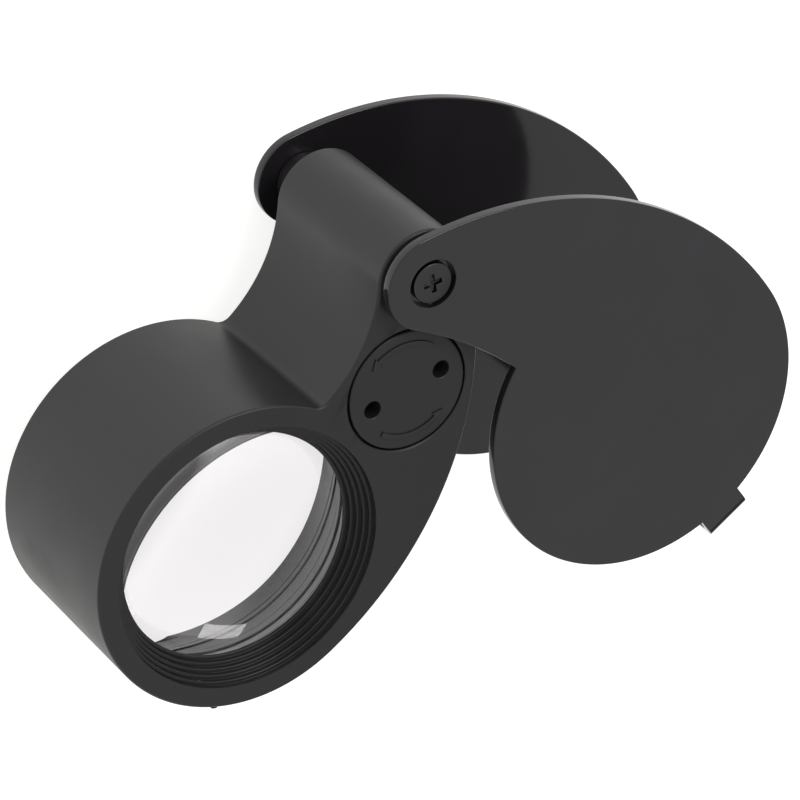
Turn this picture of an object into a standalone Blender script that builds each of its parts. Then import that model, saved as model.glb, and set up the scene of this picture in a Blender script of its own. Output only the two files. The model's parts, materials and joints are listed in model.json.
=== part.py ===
"""Folding jeweller's loupe with a lighted lens unit, swung out of its cover.

The loupe lies on the outer face of its rear cover plate.  The origin is the centre of the round
part of that plate, on its outer face.  +Z is the lens axis, towards the eye, and +Y runs along
the cover from the pivot to its far end.  Sizes below are in millimetres; MM turns them into metres.

Two local frames share the pivot axis: the cover frame, whose +X runs from the pivot to the
middle of the round plate, and the lens unit frame, whose +X runs from the pivot to the lens axis.
"""

import math

import bmesh
import bpy
from mathutils import Vector

MM = 0.001

# Driving dimensions -------------------------------------------------------------------------

# Overall stack along Z, from the outer face of the rear plate
COVER_HEIGHT = 25.0
PLATE_THICKNESS = 1.0
BODY_BACK = 4.35
BODY_FRONT = 23.25

# Distances in plan
LENS_REACH = 30.46
COVER_REACH = 30.5
LENS_UNIT_ANGLE = 3.25
COVER_ANGLE = 90.0

# Lens housing in plan
BARREL_RADIUS = 15.5
BOSS_RADIUS = 4.63
ARM_ARC_RADIUS = 34.9
HOUSING_NECK_ARC = 15.4
CORNER_DEPTH = 1.93
CORNER_FILLET = 1.3
HOUSING_RIM = 0.3

# Cover plates in plan
DISC_RADIUS = 16.6
LOBE_RADIUS = 4.72
COVER_ARC_RADIUS = 35.7
COVER_NECK_ARC = 39.5
CUSP_DEPTH = 2.85
PLATE_RIM = 0.15

# Bridge that joins the two plates at the far end
BRIDGE_DIRECTION = -15.3
BRIDGE_INNER = 18.15
BRIDGE_WIDTH = 4.8
BRIDGE_ROOT = 15.3
BRIDGE_BEND = 1.4

# Lens stack
BORE_RADIUS = 12.5
LIP_RADIUS = 11.54
LIP_TOP = 20.52
LIP_BOTTOM = 20.2
BAFFLE_RADIUS = 13.39
BAFFLE_STEPS = 5
LENS_RADIUS = 12.3
LENS_CURVE = 28.0
LENS_BACK_CURVE = 40.0
FRONT_LENS_RIM = (16.4, 19.75)
REAR_LENS_RIM = (13.3, 16.3)
SPACER_SPAN = (8.2, 13.1)
SPACER_INNER = 12.0
RETAINER_SPAN = (4.9, 8.1)
RETAINER_INNER = 11.9
RING_OUTER = 12.35

# Battery compartment
CAP_X = 10.08
CAP_Y = 5.50
CAP_RADIUS = 6.05
CAP_SEAT_RADIUS = 6.25
CAP_SEAT = 21.95
CAP_THICKNESS = 1.2
CAP_NECK_RADIUS = 4.95
CAP_BOTTOM = 19.95
LEDGE_RADIUS = 5.15
LEDGE_BOTTOM = 21.05
LUG_GROOVE_RADIUS = 5.75
LUG_GROOVE_BOTTOM = 19.85
LUG_RADIUS = 5.6
LUG_WIDTH = 4.0
LUG_SPAN = (20.05, 20.85)
NOTCH_WIDTH = 4.8
SEAL_RADIUS = 5.64
SEAL_SECTION = 0.19
CAP_TURN = 60.0
SPANNER_ANGLE = -35.9
SPANNER_REACH = 3.79
SPANNER_HOLE = 0.85
CELL_RADIUS = 4.75
CELL_HEIGHT = 2.7
CELL_PITCH = 2.8
CELL_COUNT = 3
CELL_BORE = 4.95
CELL_FLOOR = 10.5
TOP_CELL = 19.55

# Electronics behind the battery
POCKET_TOP = 9.0
SPRING_HOLE = 2.6
POCKET = [(5.5, 1.1), (16.0, 1.1), (16.0, 11.0), (9.0, 11.0), (5.5, 8.0)]
BEZEL_RECESS = [(4.6, 0.2), (16.9, 0.2), (16.9, 11.9), (8.6, 11.9), (4.6, 8.4)]
BEZEL_DEPTH = 1.2
BOARD_SPAN = (7.9, 8.7)
LED_X = 13.9
LED_Y = (3.4, 8.8)
LED_RADIUS = 1.5
LED_SPAN = (3.5, 7.0)
LEAD_RADIUS = 0.22
KNOB_X = 8.3
KNOB_Y = 3.9
KNOB_TRAVEL = 2.0

# Pivot
BUSH_OUTER = 2.95
BUSH_INNER = 2.28
POST_RADIUS = 2.2
POST_THREAD = 1.15
SCREW_HEAD = 2.0
SCREW_SHANK = 1.0
SCREW_LENGTH = 6.5
SCREW_SINK = 0.1
HEAD_DEPTH = 0.6
SINK_DEPTH = 0.75
SINK_RADIUS = 2.4
PLATE_HOLE = 1.3

# Running clearance, and the gap kept between pieces that touch on the real object
RUNNING_GAP = 0.15
TOUCH_GAP = 0.1

ROUND_STEPS = 64
SMALL_STEPS = 28


# Scene helpers ------------------------------------------------------------------------------

def clear_scene():
    """Remove every object, so the script can be run again in the same file."""
    for old in list(bpy.data.objects):
        bpy.data.objects.remove(old, do_unlink=True)


def new_collection(name):
    collection = bpy.data.collections.get(name)
    if collection is None:
        collection = bpy.data.collections.new(name)
        bpy.context.scene.collection.children.link(collection)
    return collection


def new_frame(name, x, y, turn, parent=None):
    """An empty on a Z axis, which carries the pieces that move about that axis."""
    frame = bpy.data.objects.new(name, None)
    frame.location = (x * MM, y * MM, 0)
    frame.rotation_euler = (0, 0, math.radians(turn))
    frame.empty_display_size = 5 * MM
    frame.parent = parent
    PARTS.objects.link(frame)
    return frame


def new_material(name, colour, roughness, metallic=0.0, transmission=0.0):
    material = bpy.data.materials.new(name)
    material.use_nodes = True
    material.diffuse_color = (*colour, 1)
    shader = material.node_tree.nodes["Principled BSDF"]
    shader.inputs["Base Color"].default_value = (*colour, 1)
    shader.inputs["Roughness"].default_value = roughness
    shader.inputs["Metallic"].default_value = metallic
    shader.inputs["Transmission Weight"].default_value = transmission
    return material


def add_part(name, mesh, frame, material):
    """Put a finished mesh into the object's collection, on the frame that carries it."""
    part = bpy.data.objects.new(name, mesh)
    part.parent = frame
    mesh.materials.clear()
    mesh.materials.append(material)
    mesh.shade_smooth()
    mesh.set_sharp_from_angle(angle=math.radians(35))
    PARTS.objects.link(part)
    return part


def add_cutter(name, mesh, frame):
    """Put a mesh that only shapes other pieces into the cutters' collection."""
    cutter = bpy.data.objects.new(name, mesh)
    cutter.parent = frame
    cutter.hide_render = True
    cutter.display_type = 'WIRE'
    CUTTERS.objects.link(cutter)
    return cutter


def combine(target, tool, operation='DIFFERENCE'):
    """Cut, join or trim a piece with a Boolean modifier."""
    modifier = target.modifiers.new(tool.name, 'BOOLEAN')
    modifier.operation = operation
    modifier.object = tool
    modifier.solver = 'EXACT'


# Shape helpers: each returns a mesh in millimetre coordinates scaled to metres -----------------

def mesh_from(bm, name):
    mesh = bpy.data.meshes.new(name)
    bm.to_mesh(mesh)
    bm.free()
    return mesh


def cylinder(name, radius, low, high, x=0.0, y=0.0, steps=SMALL_STEPS, top_radius=None):
    """A cylinder, or a cone with top_radius at its upper end."""
    bm = bmesh.new()
    upper = radius if top_radius is None else top_radius
    bmesh.ops.create_cone(bm, cap_ends=True, segments=steps, radius1=radius * MM,
                          radius2=upper * MM, depth=(high - low) * MM)
    middle = Vector((x, y, (low + high) / 2)) * MM
    bmesh.ops.translate(bm, verts=bm.verts, vec=middle)
    return mesh_from(bm, name)


def box(name, size, centre, turn=0.0):
    """A box with its sides along the frame, or turned about its own middle."""
    bm = bmesh.new()
    bmesh.ops.create_cube(bm, size=1.0)
    bmesh.ops.scale(bm, verts=bm.verts, vec=Vector(size) * MM)
    angle = math.radians(turn)
    for vert in bm.verts:
        x = vert.co.x * math.cos(angle) - vert.co.y * math.sin(angle)
        y = vert.co.x * math.sin(angle) + vert.co.y * math.cos(angle)
        vert.co.x = x
        vert.co.y = y
    bmesh.ops.translate(bm, verts=bm.verts, vec=Vector(centre) * MM)
    return mesh_from(bm, name)


def evaluated_mesh(source, weld=1e-6):
    """The mesh that an object's modifiers or curve settings give, with its seams welded."""
    depsgraph = bpy.context.evaluated_depsgraph_get()
    depsgraph.update()
    mesh = bpy.data.meshes.new_from_object(source.evaluated_get(depsgraph))
    bm = bmesh.new()
    bm.from_mesh(mesh)
    bmesh.ops.remove_doubles(bm, verts=bm.verts, dist=weld)
    bm.to_mesh(mesh)
    bm.free()
    bpy.data.objects.remove(source, do_unlink=True)
    return mesh


def turned(name, profile, x=0.0, y=0.0, steps=SMALL_STEPS, ring=False):
    """Turn a profile of (radius, height) points about Z; a ring's profile closes on itself.

    The profile runs from top to bottom along its outer side.
    """
    bm = bmesh.new()
    verts = [bm.verts.new((radius * MM, 0, height * MM)) for radius, height in profile]
    for first, second in zip(verts, verts[1:]):
        bm.edges.new((first, second))
    if ring:
        bm.edges.new((verts[-1], verts[0]))
    lathe = bpy.data.objects.new(name, mesh_from(bm, name + "_profile"))
    CUTTERS.objects.link(lathe)
    screw = lathe.modifiers.new("turn", 'SCREW')
    screw.axis = 'Z'
    screw.angle = math.tau
    screw.steps = steps
    screw.render_steps = steps
    screw.use_merge_vertices = True
    screw.merge_threshold = 1e-6
    mesh = evaluated_mesh(lathe)
    for vert in mesh.vertices:
        vert.co.x += x * MM
        vert.co.y += y * MM
    return mesh


def slab(name, outline, low, high, rim=0.0, rim_steps=0):
    """A flat outline given thickness between two heights, with bevelled or rounded rims."""
    curve = bpy.data.curves.new(name, 'CURVE')
    curve.dimensions = '2D'
    curve.fill_mode = 'BOTH'
    curve.extrude = ((high - low) / 2 - rim) * MM
    curve.bevel_depth = rim * MM
    curve.bevel_resolution = rim_steps
    curve.offset = -rim * MM
    spline = curve.splines.new('POLY')
    spline.points.add(len(outline) - 1)
    for point, (x, y) in zip(spline.points, outline):
        point.co = (x * MM, y * MM, 0, 1)
    spline.use_cyclic_u = True
    holder = bpy.data.objects.new(name, curve)
    CUTTERS.objects.link(holder)
    mesh = evaluated_mesh(holder)
    for vert in mesh.vertices:
        vert.co.z += (low + high) / 2 * MM
    return mesh


def inset(outline, gap):
    """Move a convex outline's corners inward, so that each side moves in by gap."""
    count = len(outline)
    moved = []
    for index, corner in enumerate(outline):
        before = Vector(outline[index - 1])
        here = Vector(corner)
        after = Vector(outline[(index + 1) % count])
        entering = (here - before).normalized()
        leaving = (after - here).normalized()
        inward = Vector((-entering.y - leaving.y, entering.x + leaving.x)).normalized()
        reach = gap / inward.dot(Vector((-entering.y, entering.x)))
        point = here + inward * reach
        moved.append((point.x, point.y))
    return moved


def arc(centre, radius, start, end, steps):
    """Points on an arc, both ends included; angles in degrees."""
    points = []
    for index in range(steps + 1):
        angle = math.radians(start + (end - start) * index / steps)
        x = centre[0] + radius * math.cos(angle)
        y = centre[1] + radius * math.sin(angle)
        points.append((x, y))
    return points


def direction(start, end):
    """The angle in degrees of the line from start to end."""
    return math.degrees(math.atan2(end[1] - start[1], end[0] - start[0]))


def lower_meeting(first, first_radius, second, second_radius):
    """The lower of the two points where two circles meet."""
    gap = math.dist(first, second)
    along = (gap * gap + first_radius ** 2 - second_radius ** 2) / (2 * gap)
    across = math.sqrt(first_radius ** 2 - along ** 2)
    unit = ((second[0] - first[0]) / gap, (second[1] - first[1]) / gap)
    x = first[0] + unit[0] * along + unit[1] * across
    y = first[1] + unit[1] * along - unit[0] * across
    return (x, y)


def upper_meeting(first, first_radius, second, second_radius):
    """The upper of the two points where two circles meet."""
    return lower_meeting(second, second_radius, first, first_radius)


def unique(points, least=0.02):
    """Drop points that lie on the one before, such as where two arcs meet."""
    kept = [points[0]]
    for point in points[1:]:
        if math.dist(point, kept[-1]) > least:
            kept.append(point)
    if math.dist(kept[0], kept[-1]) < least:
        kept.pop()
    return kept


# Outlines -----------------------------------------------------------------------------------

def housing_outline():
    """Barrel, one long arc tangent to barrel and boss, the boss, and the neck on the other side."""
    pivot = (0.0, 0.0)
    barrel = (LENS_REACH, 0.0)
    flank = lower_meeting(pivot, ARM_ARC_RADIUS - BOSS_RADIUS, barrel, ARM_ARC_RADIUS - BARREL_RADIUS)
    corner_x = LENS_REACH - math.sqrt(BARREL_RADIUS ** 2 - CORNER_DEPTH ** 2)
    neck = lower_meeting(pivot, BOSS_RADIUS + HOUSING_NECK_ARC, (corner_x, -CORNER_DEPTH), HOUSING_NECK_ARC)
    corner = upper_meeting(neck, HOUSING_NECK_ARC - CORNER_FILLET, barrel, BARREL_RADIUS + CORNER_FILLET)
    points = arc(barrel, BARREL_RADIUS, direction(barrel, corner), direction(flank, barrel), 50)
    points += arc(flank, ARM_ARC_RADIUS, direction(flank, barrel), direction(flank, pivot), 16)
    points += arc(pivot, BOSS_RADIUS, direction(flank, pivot), direction(pivot, neck) + 360, 11)
    points += arc(neck, HOUSING_NECK_ARC, direction(neck, pivot), direction(neck, corner), 6)
    points += arc(corner, CORNER_FILLET, direction(neck, corner), direction(corner, barrel), 5)
    return unique(points)


def plate_outline():
    """Round plate, a long arc to the lobe round the pivot, and the neck that ends in a cusp."""
    pivot = (0.0, 0.0)
    disc = (COVER_REACH, 0.0)
    flank = lower_meeting(pivot, COVER_ARC_RADIUS - LOBE_RADIUS, disc, COVER_ARC_RADIUS - DISC_RADIUS)
    cusp_x = COVER_REACH - math.sqrt(DISC_RADIUS ** 2 - CUSP_DEPTH ** 2)
    cusp = (cusp_x, -CUSP_DEPTH)
    neck = lower_meeting(pivot, LOBE_RADIUS + COVER_NECK_ARC, cusp, COVER_NECK_ARC)
    disc_start = direction(disc, cusp)
    disc_end = direction(flank, disc)
    lobe_start = direction(flank, pivot)
    lobe_end = direction(pivot, neck) + 360
    points = arc(disc, DISC_RADIUS, disc_start, disc_end, 50)
    points += arc(flank, COVER_ARC_RADIUS, disc_end, lobe_start, 16)
    points += arc(pivot, LOBE_RADIUS, lobe_start, lobe_end, 11)
    points += arc(neck, COVER_NECK_ARC, direction(neck, pivot), direction(neck, cusp), 5)
    return unique(points)


def lens_surface(rim_height, bulge, curve, steps=5):
    """Points of a spherical lens face from its rim to the axis; bulge is +1 up or -1 down."""
    rim_drop = math.sqrt(curve ** 2 - LENS_RADIUS ** 2)
    points = []
    for index in range(steps + 1):
        radius = LENS_RADIUS * (1 - index / steps)
        rise = math.sqrt(curve ** 2 - radius ** 2) - rim_drop
        points.append((radius, rim_height + bulge * rise))
    return points


# Cover --------------------------------------------------------------------------------------

def build_cover_shell():
    """Front plate, rear plate and the bridge bent out of the same sheet between them."""
    paint = new_material("cover_paint", (0.018, 0.018, 0.020), 0.42)
    outline = plate_outline()
    rear = slab("cover_shell", outline, 0, PLATE_THICKNESS, PLATE_RIM)
    shell = add_part("cover_shell", rear, COVER, paint)
    inner_face = COVER_HEIGHT - PLATE_THICKNESS
    front_plate = slab("front_plate", outline, inner_face, COVER_HEIGHT, PLATE_RIM)
    front = add_cutter("front_plate", front_plate, COVER)
    combine(shell, front, 'UNION')
    combine(shell, add_cutter("bridge", bridge_mesh(), COVER), 'UNION')
    hole = cylinder("cover_hole", PLATE_HOLE, -1, COVER_HEIGHT + 1)
    combine(shell, add_cutter("cover_hole", hole, COVER))
    front_sink = cylinder("front_sink", SINK_RADIUS, COVER_HEIGHT - SINK_DEPTH, COVER_HEIGHT + 1)
    combine(shell, add_cutter("front_sink", front_sink, COVER))
    combine(shell, add_cutter("rear_sink", cylinder("rear_sink", SINK_RADIUS, -1, SINK_DEPTH), COVER))


def bridge_mesh():
    """The bridge: a C in section, from the rear plate round the far end to the front plate."""
    outer = BRIDGE_INNER + PLATE_THICKNESS
    bend = BRIDGE_BEND
    fold = BRIDGE_BEND - PLATE_THICKNESS
    inner_top = COVER_HEIGHT - PLATE_THICKNESS
    section = [(BRIDGE_ROOT, 0)]
    section += arc((outer - bend, bend), bend, -90, 0, 5)
    section += arc((outer - bend, COVER_HEIGHT - bend), bend, 0, 90, 5)
    section += [(BRIDGE_ROOT, COVER_HEIGHT), (BRIDGE_ROOT, inner_top)]
    section += arc((BRIDGE_INNER - fold, inner_top - fold), fold, 90, 0, 3)
    section += arc((BRIDGE_INNER - fold, PLATE_THICKNESS + fold), fold, 0, -90, 3)
    section += [(BRIDGE_ROOT, PLATE_THICKNESS)]
    mesh = slab("bridge", unique(section), -BRIDGE_WIDTH / 2, BRIDGE_WIDTH / 2, PLATE_RIM)
    angle = math.radians(BRIDGE_DIRECTION)
    for vert in mesh.vertices:
        reach, height, across = vert.co
        vert.co.x = COVER_REACH * MM + reach * math.cos(angle) + across * math.sin(angle)
        vert.co.y = reach * math.sin(angle) - across * math.cos(angle)
        vert.co.z = height
    return mesh


def build_pivot():
    """The post that clamps between the plates, its two screws and the pieces that take up play."""
    steel = new_material("post_steel", (0.55, 0.55, 0.56), 0.3, metallic=1.0)
    low = PLATE_THICKNESS + TOUCH_GAP
    high = COVER_HEIGHT - PLATE_THICKNESS - TOUCH_GAP
    post = [(POST_RADIUS, high), (POST_RADIUS, low), (POST_THREAD, low), (POST_THREAD, high)]
    add_part("pivot_post", turned("pivot_post", post, ring=True), COVER, steel)

    nylon = new_material("washer_nylon", (0.75, 0.74, 0.70), 0.5)
    top = high - 0.05
    washer = [(4.2, top), (4.2, top - 0.3), (BUSH_INNER, top - 0.3), (BUSH_INNER, top)]
    add_part("front_washer", turned("front_washer", washer, ring=True), COVER, nylon)

    acetal = new_material("spacer_acetal", (0.03, 0.03, 0.03), 0.45)
    low = PLATE_THICKNESS + RUNNING_GAP
    spacer = [(2.8, 3.75), (2.8, low), (BUSH_INNER, low), (BUSH_INNER, 3.75)]
    add_part("rear_spacer", turned("rear_spacer", spacer, ring=True), COVER, acetal)

    spring_steel = new_material("spring_steel", (0.45, 0.45, 0.46), 0.35, metallic=1.0)
    dish = [(3.2, 4.02), (3.2, 3.84), (2.32, 4.04), (2.32, 4.22)]
    add_part("spring_washer", turned("spring_washer", dish, ring=True), COVER, spring_steel)


def build_pivot_screws():
    """Flat screws with a cross recess, sunk into each plate and driven into the post."""
    black_steel = new_material("screw_black", (0.03, 0.03, 0.03), 0.35, metallic=1.0)
    for name, top, down in (("front_pivot_screw", COVER_HEIGHT, 1), ("rear_pivot_screw", 0.0, -1)):
        head_top = top - down * SCREW_SINK
        head_low = head_top - down * HEAD_DEPTH
        tip = top - down * SCREW_LENGTH
        profile = [(0, head_top), (SCREW_HEAD, head_top), (SCREW_HEAD, head_low), (SCREW_SHANK, head_low),
                   (SCREW_SHANK, tip), (0, tip)]
        if down < 0:
            profile.reverse()
        screw = add_part(name, turned(name, profile), COVER, black_steel)
        for turn in (50, 140):
            cutter_name = "%s_recess_%d" % (name, turn)
            size = (2.1, 0.5, 0.8)
            combine(screw, add_cutter(cutter_name, box(cutter_name, size, (0, 0, head_top), turn), COVER))


# Lens unit ----------------------------------------------------------------------------------

def build_housing():
    """One moulding: barrel, arm and boss, with the bores and pockets for everything inside."""
    plastic = new_material("housing_plastic", (0.020, 0.020, 0.022), 0.48)
    body = slab("lens_housing", housing_outline(), BODY_BACK, BODY_FRONT, HOUSING_RIM, 1)
    housing = add_part("lens_housing", body, UNIT, plastic)
    over = BODY_FRONT + 1
    under = BODY_BACK - 1
    cuts = [
        cylinder("pivot_bore", BUSH_OUTER + TOUCH_GAP, under, over),
        turned("lens_bore", lens_bore_profile(over, under), LENS_REACH, 0, ROUND_STEPS),
        cylinder("cap_seat", CAP_SEAT_RADIUS, CAP_SEAT, over, CAP_X, CAP_Y, 48),
        turned("seal_groove", seal_groove_profile(), CAP_X, CAP_Y, ring=True),
        cylinder("cap_ledge", LEDGE_RADIUS, LUG_GROOVE_BOTTOM, over, CAP_X, CAP_Y),
        cylinder("lug_groove", LUG_GROOVE_RADIUS, LUG_GROOVE_BOTTOM, LEDGE_BOTTOM, CAP_X, CAP_Y),
        cylinder("cell_bore", CELL_BORE, CELL_FLOOR, over, CAP_X, CAP_Y),
        cylinder("spring_hole", SPRING_HOLE, under, over, CAP_X, CAP_Y, 24),
        box("lug_notch", (2 * LUG_GROOVE_RADIUS, NOTCH_WIDTH, over - LEDGE_BOTTOM + 0.2),
            (CAP_X, CAP_Y, (over + LEDGE_BOTTOM - 0.2) / 2), SPANNER_ANGLE + CAP_TURN),
        box("contact_slot", (2.4, 2.0, 11.6), (CAP_X, CAP_Y + 4.65, 14.3)),
        slab("electronics_pocket", POCKET, under, POCKET_TOP),
        slab("bezel_recess", BEZEL_RECESS, under, BODY_BACK + BEZEL_DEPTH),
    ]
    for mesh in cuts:
        combine(housing, add_cutter(mesh.name, mesh, UNIT))


def lens_bore_profile(over, under):
    """The bore: stepped baffle rings above a lip, and the lens seat below it."""
    tread = (BAFFLE_RADIUS - LIP_RADIUS) / BAFFLE_STEPS
    rise = (BODY_FRONT - LIP_TOP) / BAFFLE_STEPS
    profile = [(0, over), (BAFFLE_RADIUS, over)]
    for step in range(BAFFLE_STEPS):
        radius = BAFFLE_RADIUS - step * tread
        height = BODY_FRONT - (step + 1) * rise
        profile += [(radius, height), (radius - tread, height)]
    profile += [(LIP_RADIUS, LIP_BOTTOM), (BORE_RADIUS, LIP_BOTTOM), (BORE_RADIUS, under), (0, under)]
    return profile


def seal_groove_profile():
    """A square groove in the ledge, in which the cap's seal lies."""
    inner = SEAL_RADIUS - SEAL_SECTION - TOUCH_GAP
    outer = SEAL_RADIUS + SEAL_SECTION + TOUCH_GAP
    floor = CAP_SEAT - 2 * SEAL_SECTION - TOUCH_GAP
    return [(outer, CAP_SEAT + 0.3), (outer, floor), (inner, floor), (inner, CAP_SEAT + 0.3)]


def build_lenses():
    """A doublet of two glass elements, the ring under it and the threaded ring that holds it."""
    glass = new_material("lens_glass", (0.95, 0.97, 0.97), 0.02, transmission=1.0)
    low, high = FRONT_LENS_RIM
    front = list(reversed(lens_surface(high, 1, LENS_CURVE))) + lens_surface(low, -1, LENS_CURVE)
    add_part("front_lens", turned("front_lens", front, LENS_REACH, 0, 36), UNIT, glass)

    low, high = REAR_LENS_RIM
    rear = list(reversed(lens_surface(high, -1, LENS_CURVE))) + lens_surface(low, -1, LENS_BACK_CURVE)
    add_part("rear_lens", turned("rear_lens", rear, LENS_REACH, 0, 36), UNIT, glass)

    aluminium = new_material("spacer_aluminium", (0.78, 0.78, 0.80), 0.35, metallic=1.0)
    low, high = SPACER_SPAN
    ring = [(RING_OUTER, high), (RING_OUTER, low), (SPACER_INNER, low), (SPACER_INNER, high)]
    add_part("lens_spacer", turned("lens_spacer", ring, LENS_REACH, 0, 48, ring=True), UNIT, aluminium)

    black = new_material("retainer_black", (0.02, 0.02, 0.02), 0.4, metallic=1.0)
    low, high = RETAINER_SPAN
    ring = [(RING_OUTER, high), (RING_OUTER, low), (RETAINER_INNER, low), (RETAINER_INNER, high)]
    retainer = add_part("lens_retainer", turned("lens_retainer", ring, LENS_REACH, 0, 48, ring=True),
                        UNIT, black)
    slots = box("retainer_slots", (2 * RING_OUTER + 1, 1.2, 1.6), (LENS_REACH, 0, low), 45)
    combine(retainer, add_cutter("retainer_slots", slots, UNIT))


def build_cells():
    """Three button cells in one stack, each a can with a smaller cap towards the spring."""
    for index in range(CELL_COUNT):
        steel = new_material("cell_steel_%d" % (index + 1), (0.70, 0.70, 0.70), 0.25, metallic=1.0)
        name = "battery_cell_%d" % (index + 1)
        high = TOP_CELL - index * CELL_PITCH
        low = high - CELL_HEIGHT
        step = 0.35
        profile = [(0, high), (CELL_RADIUS - 0.2, high), (CELL_RADIUS, high - 0.2),
                   (CELL_RADIUS, low + step), (CELL_RADIUS - 0.7, low + step),
                   (CELL_RADIUS - 0.9, low), (0, low)]
        add_part(name, turned(name, profile, CAP_X, CAP_Y), UNIT, steel)


def build_contacts():
    """The coil under the cells and the strip that brings the current down from the cap."""
    wire = new_material("contact_spring_wire", (0.72, 0.66, 0.50), 0.25, metallic=1.0)
    curve = bpy.data.curves.new("battery_spring", 'CURVE')
    curve.dimensions = '3D'
    curve.bevel_depth = 0.17 * MM
    curve.bevel_resolution = 2
    curve.use_fill_caps = True
    turns = 2.5
    per_turn = 10
    count = int(turns * per_turn)
    bottom = BOARD_SPAN[1] + TOUCH_GAP + 0.17
    top = TOP_CELL - CELL_COUNT * CELL_PITCH - 0.17
    spline = curve.splines.new('POLY')
    spline.points.add(count)
    for index in range(count + 1):
        share = index / count
        radius = 2.2 - 1.0 * share
        angle = math.tau * turns * share
        x = CAP_X + radius * math.cos(angle)
        y = CAP_Y + radius * math.sin(angle)
        z = bottom + (top - bottom) * share
        spline.points[index].co = (x * MM, y * MM, z * MM, 1)
    spring = bpy.data.objects.new("battery_spring", curve)
    spring.parent = UNIT
    curve.materials.append(wire)
    PARTS.objects.link(spring)

    nickel = new_material("side_contact_nickel", (0.70, 0.68, 0.62), 0.3, metallic=1.0)
    low = BOARD_SPAN[1] + TOUCH_GAP
    high = LUG_GROOVE_BOTTOM - RUNNING_GAP
    strip = box("side_contact", (1.8, 0.25, high - low), (CAP_X, CAP_Y + CELL_BORE + 0.3, (low + high) / 2))
    add_part("side_contact", strip, UNIT, nickel)


def build_electronics():
    """Board, two lamps with their leads, and the cover that closes the pocket from behind."""
    laminate = new_material("board_laminate", (0.03, 0.16, 0.06), 0.4)
    low, high = BOARD_SPAN
    add_part("circuit_board", slab("circuit_board", inset(POCKET, 0.15), low, high), UNIT, laminate)

    plastic = new_material("bezel_plastic", (0.020, 0.020, 0.022), 0.5)
    bezel_top = BODY_BACK + BEZEL_DEPTH - TOUCH_GAP
    plate = slab("light_bezel", inset(BEZEL_RECESS, TOUCH_GAP), BODY_BACK + 0.05, bezel_top)
    bezel = add_part("light_bezel", plate, UNIT, plastic)

    tin = new_material("lead_tin", (0.65, 0.65, 0.66), 0.3, metallic=1.0)
    for index, led_y in enumerate(LED_Y):
        name = "led_%d" % (index + 1)
        epoxy = new_material("led_epoxy_%d" % (index + 1), (0.92, 0.93, 0.95), 0.08, transmission=0.6)
        low, high = LED_SPAN
        turns = [step * math.pi / 10 for step in range(6)]
        dome = [(LED_RADIUS * math.cos(turn), low + LED_RADIUS * (1 - math.sin(turn))) for turn in turns]
        dome[-1] = (0, low)
        flange = LED_RADIUS + 0.35
        profile = [(0, high), (flange, high), (flange, high - 0.6), (LED_RADIUS, high - 0.6)] + dome
        add_part(name, turned(name, profile, LED_X, led_y, 24), UNIT, epoxy)
        hole = cylinder("led_hole_%d" % (index + 1), LED_RADIUS + TOUCH_GAP, 0, POCKET_TOP, LED_X, led_y, 24)
        combine(bezel, add_cutter(hole.name, hole, UNIT))
        for side, end in ((-0.6, "cathode"), (0.6, "anode")):
            lead = cylinder("%s_%s" % (name, end), LEAD_RADIUS, high + TOUCH_GAP, BOARD_SPAN[0] - TOUCH_GAP,
                            LED_X, led_y + side, 10)
            add_part(lead.name, lead, UNIT, tin)

    slot_length = 2.4 + KNOB_TRAVEL + 2 * RUNNING_GAP
    slot = box("knob_slot", (2.1, slot_length, 6), (KNOB_X, KNOB_Y + KNOB_TRAVEL / 2, BODY_BACK))
    combine(bezel, add_cutter("knob_slot", slot, UNIT))


def build_switch():
    """The slide switch: a knob that stands out of the rear face, and the wiper on its foot."""
    plastic = new_material("knob_plastic", (0.025, 0.025, 0.027), 0.4)
    foot_low = BODY_BACK + BEZEL_DEPTH
    foot = box("light_switch_knob", (3.4, 4.4, 0.7), (KNOB_X, KNOB_Y, foot_low + 0.4))
    knob = add_part("light_switch_knob", foot, UNIT, plastic)
    stem = box("knob_stem", (1.8, 2.4, 3.2), (KNOB_X, KNOB_Y, foot_low + 0.4 - 1.6))
    combine(knob, add_cutter("knob_stem", stem, UNIT), 'UNION')
    copper = new_material("wiper_copper", (0.80, 0.50, 0.30), 0.3, metallic=1.0)
    wiper = box("switch_wiper", (1.4, 3.0, 0.2), (KNOB_X, KNOB_Y, foot_low + 0.4 + 0.35 + 0.2))
    add_part("switch_wiper", wiper, UNIT, copper)


def build_bush():
    """The sleeve pressed into the boss, which turns on the cover's post."""
    brass = new_material("bush_brass", (0.75, 0.58, 0.28), 0.3, metallic=1.0)
    low = BODY_BACK + 0.05
    high = BODY_FRONT - 0.05
    ring = [(BUSH_OUTER, high), (BUSH_OUTER, low), (BUSH_INNER, low), (BUSH_INNER, high)]
    add_part("boss_bush", turned("boss_bush", ring, ring=True), UNIT, brass)


# Battery cap --------------------------------------------------------------------------------

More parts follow.
